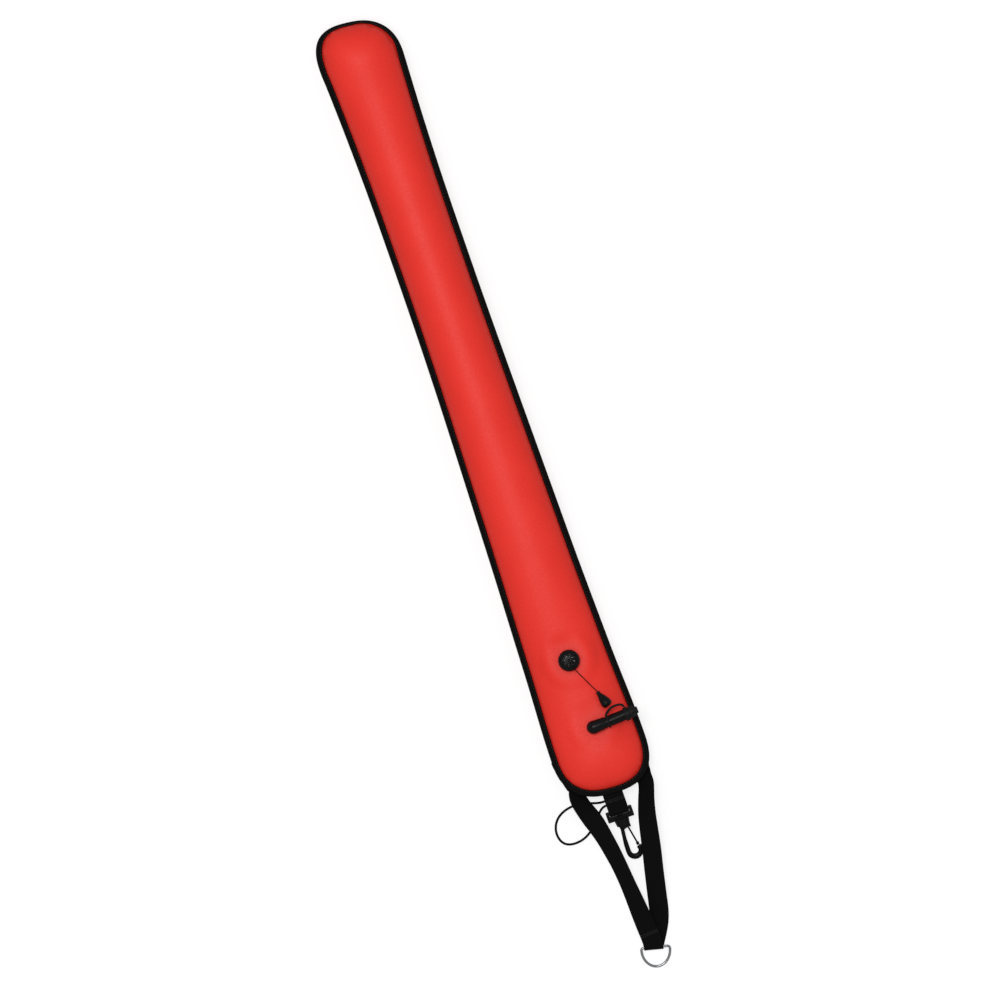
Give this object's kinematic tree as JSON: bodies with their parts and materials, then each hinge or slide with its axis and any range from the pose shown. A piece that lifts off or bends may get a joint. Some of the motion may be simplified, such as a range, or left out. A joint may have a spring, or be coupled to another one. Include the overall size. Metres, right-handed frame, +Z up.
{
  "type": "surface marker buoy",
  "caption": "Inflated red tube buoy for divers with bound edges, dump valve with pull toggle, capped oral inflator, V bridle with D-ring, swivel snap and bungee loop.",
  "frame": {"origin": "on the flat of the underside, under the crown line, at half the length of the inflated tube", "axes": "+Y along the tube to its closed round head, -Y to the foot with the bridle, +Z up through the front panel with the valves, +X to the side that the inflator points to"},
  "size_m": [0.1483, 1.2437, 0.08],
  "materials": {
    "coated_nylon_red": "satin coated weave",
    "binding_tape_black": "matte ribbed tape",
    "webbing_black": "matte woven webbing",
    "cord_black": "matte braid",
    "moulded_plastic_black": "satin moulded",
    "rubber_black": "matte",
    "stainless_steel": "polished"
  },
  "bodies": {
    "tube": {"front_panel": "coated_nylon_red", "back_panel": "coated_nylon_red", "edge_binding": "binding_tape_black", "bridle_strap": "webbing_black", "tail_loop": "webbing_black", "bungee_loop": "cord_black", "valve_base": "moulded_plastic_black", "valve_cap": "moulded_plastic_black", "valve_spring": "stainless_steel", "inflator_base": "moulded_plastic_black", "inflator_elbow": "moulded_plastic_black", "inflator_tube": "moulded_plastic_black", "cap_tether": "rubber_black", "mouthpiece_spring": "stainless_steel"},
    "ring": {"d_ring": "stainless_steel"},
    "snap_frame": {"snap_base": "moulded_plastic_black"},
    "hook": {"snap_hook": "moulded_plastic_black"},
    "gate": {"snap_gate": "moulded_plastic_black"},
    "toggle": {"pull_toggle": "moulded_plastic_black", "pull_cord": "cord_black"},
    "poppet": {"valve_poppet": "moulded_plastic_black", "poppet_seal": "rubber_black"},
    "cap": {"dust_cap": "rubber_black"},
    "mouthpiece": {"mouthpiece": "moulded_plastic_black", "mouthpiece_seal": "rubber_black"}
  },
  "joints": [
    {"name": "ring_swing", "type": "hinge", "parent": "tube", "child": "ring", "pos_m": [-0.0159, -0.7085, 0.0038], "axis": [0.9711, -0.2385, 0], "range_deg": [-135, 135]},
    {"name": "snap_swing", "type": "hinge", "parent": "tube", "child": "snap_frame", "pos_m": [-0.0035, -0.5323, 0.02017], "axis": [1, 0, 0], "range_deg": [-6, 75]},
    {"name": "hook_swivel", "type": "hinge", "parent": "snap_frame", "child": "hook", "pos_m": [-0.0035, -0.5323, 0.02017], "axis": [0, -0.9659, -0.2588], "continuous": true},
    {"name": "gate_flex", "type": "hinge", "parent": "hook", "child": "gate", "pos_m": [0.0011, -0.55471, 0.01417], "axis": [0, 0.2588, -0.9659], "range_deg": [0, 18], "stiffness_Nm_per_rad": 0.1, "springref_deg": -3.44},
    {"name": "toggle_pull", "type": "slide", "parent": "tube", "child": "toggle", "axis": [0.3395, -0.938, 0.0698], "range_m": [0, 0.0025], "deforming": ["pull_cord"]},
    {"name": "poppet_lift", "type": "slide", "parent": "tube", "child": "poppet", "axis": [0, 0, 1], "range_m": [0, 0.0025], "stiffness_N_per_m": 1500, "springref_m": -0.0015, "deforming": ["valve_spring"]},
    {"name": "cap_pull", "type": "slide", "parent": "tube", "child": "cap", "axis": [0.9986, 0.0523, 0], "range_m": [0, 0.014], "deforming": ["cap_tether"]},
    {"name": "mouthpiece_press", "type": "slide", "parent": "tube", "child": "mouthpiece", "axis": [-0.9986, -0.0523, 0], "range_m": [0, 0.004], "stiffness_N_per_m": 800, "springref_m": -0.002, "deforming": ["mouthpiece_spring"]}
  ],
  "couplings": [
    {"joint": "poppet_lift", "follows": "toggle_pull", "ratio": 1}
  ]
}
